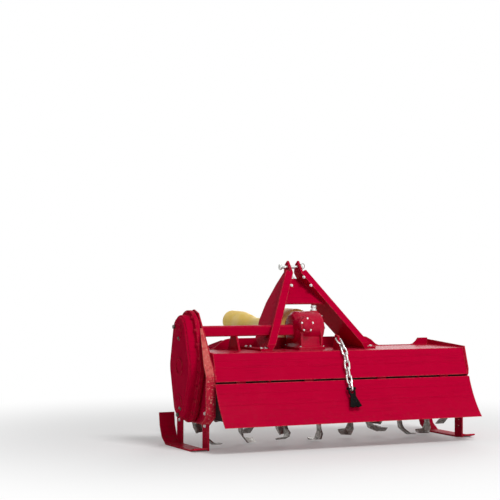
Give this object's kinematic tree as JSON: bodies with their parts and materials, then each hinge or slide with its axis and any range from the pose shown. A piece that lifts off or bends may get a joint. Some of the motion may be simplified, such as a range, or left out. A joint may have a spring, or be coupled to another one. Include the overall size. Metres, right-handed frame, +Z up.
{
  "type": "tractor-mounted rotavator",
  "caption": "Tractor-mounted rotary tiller with a three-point mast, gearbox, side gear case, bladed rotor under a hood, chained tailboard and depth skids.",
  "frame": {"origin": "on the floor, below the centre of the bounding box", "axes": "+Y forward to the tractor, +X to the right seen from behind, +Z up"},
  "size_m": [1.678, 1.422, 0.962],
  "materials": {
    "red_paint": "glossy red paint, worn at the edges",
    "yellow_plastic": "satin",
    "zinc_plate": "zinc plated",
    "black_steel": "satin black",
    "bare_steel": "turned steel with oil"
  },
  "bodies": {
    "frame": {"hood_shell": "red_paint", "end_plate_left": "red_paint", "end_plate_right": "red_paint", "front_beam": "red_paint", "cross_tube": "red_paint", "tube_brackets": "red_paint", "gearbox_housing": "red_paint", "gearbox_rear_cover": "red_paint", "mast_arm_left": "red_paint", "mast_arm_right": "red_paint", "mast_cross_plate": "red_paint", "hitch_clevis_left": "red_paint", "hitch_clevis_right": "red_paint", "side_case_body": "red_paint", "side_case_cover": "red_paint", "bearing_housing_right": "red_paint", "skid_left": "red_paint", "skid_right": "red_paint", "chain_lug": "red_paint", "driveshaft_rest": "red_paint", "input_guard": "yellow_plastic", "driveshaft_guard": "yellow_plastic", "top_link_pin": "zinc_plate", "lower_link_pins": "zinc_plate", "case_plugs": "zinc_plate", "filler_plug": "zinc_plate", "tailboard_chain": "zinc_plate", "hinge_rod": "zinc_plate"},
    "tailboard": {"tailboard": "red_paint", "chain_hook": "black_steel"},
    "rotor": {"bladed_rotor": "red_paint", "rotor_stubs": "bare_steel"},
    "driveline": {"input_shaft": "bare_steel", "driveshaft": "bare_steel"}
  },
  "joints": [
    {"name": "rotor_spin", "type": "hinge", "parent": "frame", "child": "rotor", "pos_m": [0.004, -0.309, 0.233], "axis": [-1, 0, 0], "continuous": true},
    {"name": "driveline_spin", "type": "hinge", "parent": "frame", "child": "driveline", "pos_m": [-0.076, 0.191, 0.607], "axis": [0, 1, 0], "continuous": true},
    {"name": "tailboard_lift", "type": "hinge", "parent": "frame", "child": "tailboard", "pos_m": [0.004, -0.567, 0.355], "axis": [-1, 0, 0], "range_deg": [0, 50], "deforming": ["tailboard_chain"]}
  ],
  "couplings": [
    {"joint": "driveline_spin", "follows": "rotor_spin", "ratio": 2.634}
  ]
}
